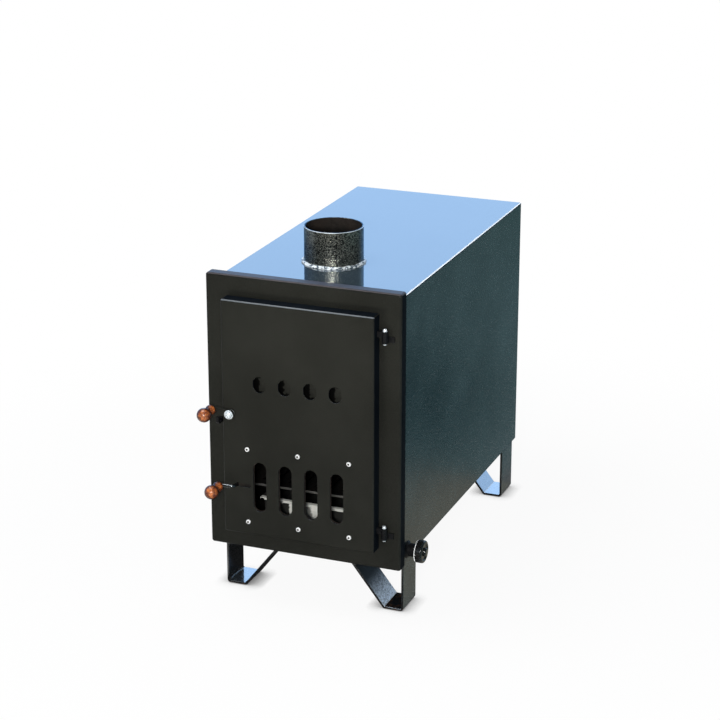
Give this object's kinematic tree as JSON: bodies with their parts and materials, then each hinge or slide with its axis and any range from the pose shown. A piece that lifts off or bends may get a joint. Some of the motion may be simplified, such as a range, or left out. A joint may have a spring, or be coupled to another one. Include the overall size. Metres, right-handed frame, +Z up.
{
  "type": "hot tub wood heater",
  "caption": "Black wood-fired hot tub heater: a water-jacketed steel firebox on bent legs with a hinged door, air slide, latch, flue collar, drain cap and rear water stubs.",
  "frame": {"origin": "on the floor, under the middle of the whole outline, which is 15 mm right of and 32 mm in front of the middle of the box shell", "axes": "+Z up, -Y towards the front with the door, +X towards the door's hinges"},
  "size_m": [0.4402, 0.9418, 0.74],
  "materials": {
    "black_paint": "satin textured black stove paint",
    "hammered_black": "semi-gloss hammered black paint",
    "fire_steel": "sooty mild steel",
    "cast_iron": "cast iron",
    "galvanised": "galvanised sheet",
    "zinc": "bright zinc plate",
    "rivet_aluminium": "bright aluminium",
    "varnished_wood": "varnished red-brown wood",
    "seal_rope": "woven fibre rope",
    "gasket_rubber": "pale fibre washer",
    "cap_plastic": "black moulded cap"
  },
  "bodies": {
    "heater": {"bottom_plate": "black_paint", "left_side_plate": "black_paint", "right_side_plate": "black_paint", "rear_plate": "black_paint", "top_plate": "black_paint", "front_flange": "black_paint", "door_throat": "black_paint", "front_panel": "black_paint", "firebox_floor": "fire_steel", "firebox_left": "fire_steel", "firebox_right": "fire_steel", "firebox_rear": "fire_steel", "firebox_roof": "fire_steel", "jacket_stays": "fire_steel", "flue_collar": "hammered_black", "water_inlet": "black_paint", "water_outlet": "black_paint", "drain_nipple": "black_paint", "baffle_ledge_left": "fire_steel", "baffle_ledge_right": "fire_steel", "smoke_baffle": "fire_steel", "grate_rail_left": "fire_steel", "grate_rail_right": "fire_steel", "grate": "cast_iron", "ash_pan": "galvanised", "leg_front_left": "black_paint", "leg_front_right": "black_paint", "leg_rear_left": "black_paint", "leg_rear_right": "black_paint", "hinge_upper_frame_knuckle": "black_paint", "hinge_lower_frame_knuckle": "black_paint", "hinge_upper_pin": "zinc", "hinge_lower_pin": "zinc", "latch_keeper": "black_paint"},
    "door": {"door_skin": "black_paint", "door_liner": "black_paint", "door_seal": "seal_rope", "seal_retainer": "black_paint", "slide_guide_top": "fire_steel", "slide_guide_bottom": "fire_steel", "guide_rivets": "rivet_aluminium", "latch_bolt": "zinc", "latch_washers": "zinc", "latch_nut": "zinc", "hinge_upper_door_knuckle": "black_paint", "hinge_lower_door_knuckle": "black_paint"},
    "air_slide": {"air_slide": "fire_steel", "air_rod": "zinc", "air_knob": "varnished_wood"},
    "latch": {"latch_lever": "black_paint", "latch_knob": "varnished_wood", "latch_stud": "zinc"},
    "gasket": {"drain_gasket": "gasket_rubber"},
    "cap": {"drain_cap": "cap_plastic"}
  },
  "joints": [
    {"name": "door_swing", "type": "hinge", "parent": "heater", "child": "door", "pos_m": [0.15935, -0.3806, 0.39], "axis": [0, 0, 1], "range_deg": [0, 115]},
    {"name": "air_slide_travel", "type": "slide", "parent": "door", "child": "air_slide", "axis": [1, 0, 0], "range_m": [0, 0.0273]},
    {"name": "latch_turn", "type": "hinge", "parent": "door", "child": "latch", "pos_m": [-0.15855, -0.4041, 0.4064], "axis": [0, 1, 0], "range_deg": [-16, 60]},
    {"name": "drain_cap_travel", "type": "slide", "parent": "heater", "child": "gasket", "axis": [1, 0, 0], "range_m": [0, 0.0073]},
    {"name": "drain_cap_turn", "type": "hinge", "parent": "gasket", "child": "cap", "pos_m": [0.20215, -0.3006, 0.1285], "axis": [1, 0, 0], "range_deg": [0, 1440]}
  ],
  "couplings": [
    {"joint": "drain_cap_travel", "follows": "drain_cap_turn", "m_per_rad": 0.0002887}
  ]
}
